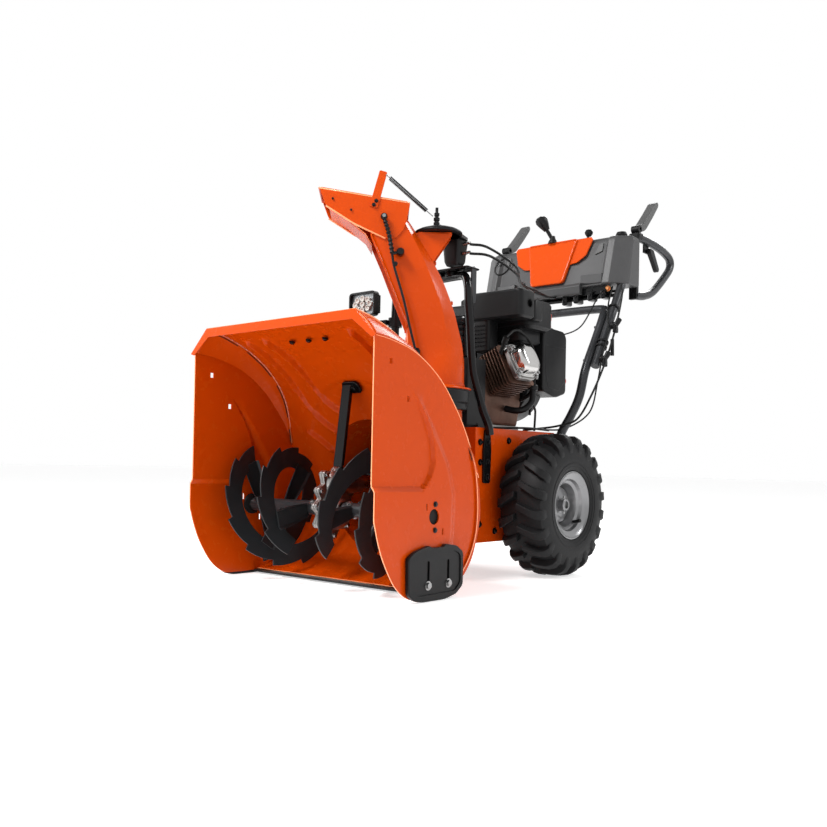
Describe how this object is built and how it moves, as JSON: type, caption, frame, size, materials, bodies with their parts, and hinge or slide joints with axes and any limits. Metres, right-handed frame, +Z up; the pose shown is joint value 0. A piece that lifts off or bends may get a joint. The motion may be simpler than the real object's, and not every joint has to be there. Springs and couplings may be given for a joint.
{
  "type": "two stage snowblower",
  "caption": "Walk-behind two stage snow thrower with ribbon auger, impeller, turning chute with tilting deflector, engine, two tyred wheels and loop handles with squeeze levers.",
  "frame": {"origin": "on the ground, under the middle of the machine's overall box", "axes": "+Z up, -Y the way the machine drives (auger end), +X the machine's left side"},
  "size_m": [0.638, 1.5007, 1.146],
  "materials": {
    "orange_powder_coat": "gloss powder coat",
    "charcoal_paint": "satin paint",
    "black_paint": "gloss paint",
    "black_plastic": "moulded",
    "grey_plastic": "fine textured",
    "pad_plastic": "soft touch",
    "cast_aluminium": "as cast",
    "zinc_steel": "zinc plated",
    "gunmetal_paint": "satin metallic paint",
    "cable_rubber": "smooth",
    "tyre_rubber": "matt",
    "rim_paint": "silver grey paint",
    "bronze": "machined",
    "red_plastic": "moulded"
  },
  "bodies": {
    "chassis": {"housing_back": "orange_powder_coat", "housing_side_left": "orange_powder_coat", "housing_side_right": "orange_powder_coat", "impeller_drum": "orange_powder_coat", "skid_shoe_left": "black_plastic", "skid_shoe_right": "black_plastic", "scraper_bar": "charcoal_paint", "gearcase_left": "cast_aluminium", "gearcase_right": "cast_aluminium", "gearcase_brace": "black_paint", "drive_belt": "cable_rubber", "chute_ring": "black_plastic", "head_cap": "black_plastic", "head_motor": "black_plastic", "chute_support": "black_paint", "light_bracket": "black_plastic", "tractor_frame": "orange_powder_coat", "belt_cover": "black_plastic", "wheel_axle": "zinc_steel", "engine_block": "cast_aluminium", "valve_cover": "cast_aluminium", "muffler": "black_paint", "fuel_tank": "black_plastic", "recoil_housing": "black_plastic", "lower_handle": "gunmetal_paint", "upper_handle_left": "gunmetal_paint", "upper_handle_right": "gunmetal_paint", "dash_panel": "grey_plastic", "dash_cover": "orange_powder_coat", "grip_loop_left": "gunmetal_paint", "grip_loop_right": "gunmetal_paint", "head_cable": "cable_rubber", "drive_cable": "cable_rubber"},
    "auger": {"auger_left": "charcoal_paint", "auger_right": "charcoal_paint", "auger_shaft": "zinc_steel", "worm_wheel": "bronze"},
    "impeller_set": {"impeller": "charcoal_paint", "impeller_shaft": "zinc_steel", "impeller_pulley": "zinc_steel"},
    "crank": {"crank_pulley": "zinc_steel"},
    "chute_body": {"chute": "orange_powder_coat", "deflector_spring": "zinc_steel", "deflector_cable": "cable_rubber"},
    "deflector_body": {"deflector": "orange_powder_coat"},
    "light": {"work_light": "black_plastic"},
    "wheel_l": {"tyre_left": "tyre_rubber", "rim_left": "rim_paint"},
    "wheel_r": {"tyre_right": "tyre_rubber", "rim_right": "rim_paint"},
    "cap": {"fuel_cap": "black_plastic"},
    "choke": {"choke_knob": "red_plastic"},
    "primer": {"primer_bulb": "red_plastic"},
    "starter": {"starter_grip": "black_plastic"},
    "lever_l": {"drive_lever": "pad_plastic"},
    "lever_r": {"auger_lever": "pad_plastic"},
    "trigger_l": {"steer_trigger_left": "black_plastic"},
    "trigger_r": {"steer_trigger_right": "black_plastic"},
    "joystick": {"chute_joystick": "black_plastic"},
    "speed": {"speed_lever": "black_plastic"}
  },
  "joints": [
    {"name": "auger_spin", "type": "hinge", "parent": "chassis", "child": "auger", "pos_m": [0, -0.551, 0.181], "axis": [1, 0, 0], "continuous": true},
    {"name": "impeller_spin", "type": "hinge", "parent": "chassis", "child": "impeller_set", "pos_m": [0, -0.2, 0.24], "axis": [0, 1, 0], "continuous": true},
    {"name": "crank_spin", "type": "hinge", "parent": "chassis", "child": "crank", "pos_m": [0, -0.134, 0.497], "axis": [0, 1, 0], "continuous": true},
    {"name": "chute_turn", "type": "hinge", "parent": "chassis", "child": "chute_body", "pos_m": [0.084, -0.284, 0.5], "axis": [0, 0, 1], "range_deg": [-46, 133]},
    {"name": "deflector_tilt", "type": "hinge", "parent": "chute_body", "child": "deflector_body", "pos_m": [0.0152, -0.34508, 0.874], "axis": [0.6639, -0.7478, 0], "range_deg": [0, 38], "stiffness_Nm_per_rad": 6, "springref_deg": -28.65, "deforming": ["deflector_spring"]},
    {"name": "light_tilt", "type": "hinge", "parent": "chassis", "child": "light", "pos_m": [-0.182, -0.237, 0.729], "axis": [1, 0, 0], "range_deg": [-15, 20]},
    {"name": "wheel_left_spin", "type": "hinge", "parent": "chassis", "child": "wheel_l", "pos_m": [0.2395, 0.049, 0.191], "axis": [1, 0, 0], "continuous": true},
    {"name": "wheel_right_spin", "type": "hinge", "parent": "chassis", "child": "wheel_r", "pos_m": [-0.2395, 0.049, 0.191], "axis": [1, 0, 0], "continuous": true},
    {"name": "fuel_cap_turn", "type": "hinge", "parent": "chassis", "child": "cap", "pos_m": [-0.06, 0.078, 0.757], "axis": [0, 0, 1], "continuous": true},
    {"name": "choke_turn", "type": "hinge", "parent": "chassis", "child": "choke", "pos_m": [0.132, 0.168, 0.7], "axis": [0, 0, 1], "range_deg": [0, 90]},
    {"name": "primer_press", "type": "slide", "parent": "chassis", "child": "primer", "axis": [0, -1, 0], "range_m": [0, 0.0055], "stiffness_N_per_m": 400, "springref_m": -0.002},
    {"name": "starter_pull", "type": "slide", "parent": "chassis", "child": "starter", "axis": [0, 1, 0], "range_m": [0, 0.15], "stiffness_N_per_m": 40, "springref_m": -0.1},
    {"name": "drive_lever_squeeze", "type": "hinge", "parent": "chassis", "child": "lever_l", "pos_m": [0.238, 0.518, 1.034], "axis": [-1, 0, 0], "range_deg": [0, 21], "stiffness_Nm_per_rad": 2, "springref_deg": -20.05},
    {"name": "auger_lever_squeeze", "type": "hinge", "parent": "chassis", "child": "lever_r", "pos_m": [-0.238, 0.518, 1.034], "axis": [-1, 0, 0], "range_deg": [0, 21], "stiffness_Nm_per_rad": 2, "springref_deg": -20.05},
    {"name": "steer_left_squeeze", "type": "hinge", "parent": "chassis", "child": "trigger_l", "pos_m": [0.253, 0.582, 0.978], "axis": [1, 0, 0], "range_deg": [0, 18], "stiffness_Nm_per_rad": 1, "springref_deg": -11.46},
    {"name": "steer_right_squeeze", "type": "hinge", "parent": "chassis", "child": "trigger_r", "pos_m": [-0.253, 0.582, 0.978], "axis": [1, 0, 0], "range_deg": [0, 18], "stiffness_Nm_per_rad": 1, "springref_deg": -11.46},
    {"name": "joystick_tilt", "type": "hinge", "parent": "chassis", "child": "joystick", "pos_m": [0, 0.422, 1.018], "axis": [0, 1, 0], "range_deg": [-19, 55]},
    {"name": "speed_shift", "type": "hinge", "parent": "chassis", "child": "speed", "pos_m": [0.105, 0.452, 1.008], "axis": [1, 0, 0], "range_deg": [-12, 12]}
  ],
  "couplings": [
    {"joint": "auger_spin", "follows": "impeller_spin", "ratio": 0.1},
    {"joint": "crank_spin", "follows": "impeller_spin", "ratio": 2.86},
    {"joint": "joystick_tilt", "follows": "chute_turn", "ratio": 0.41}
  ]
}
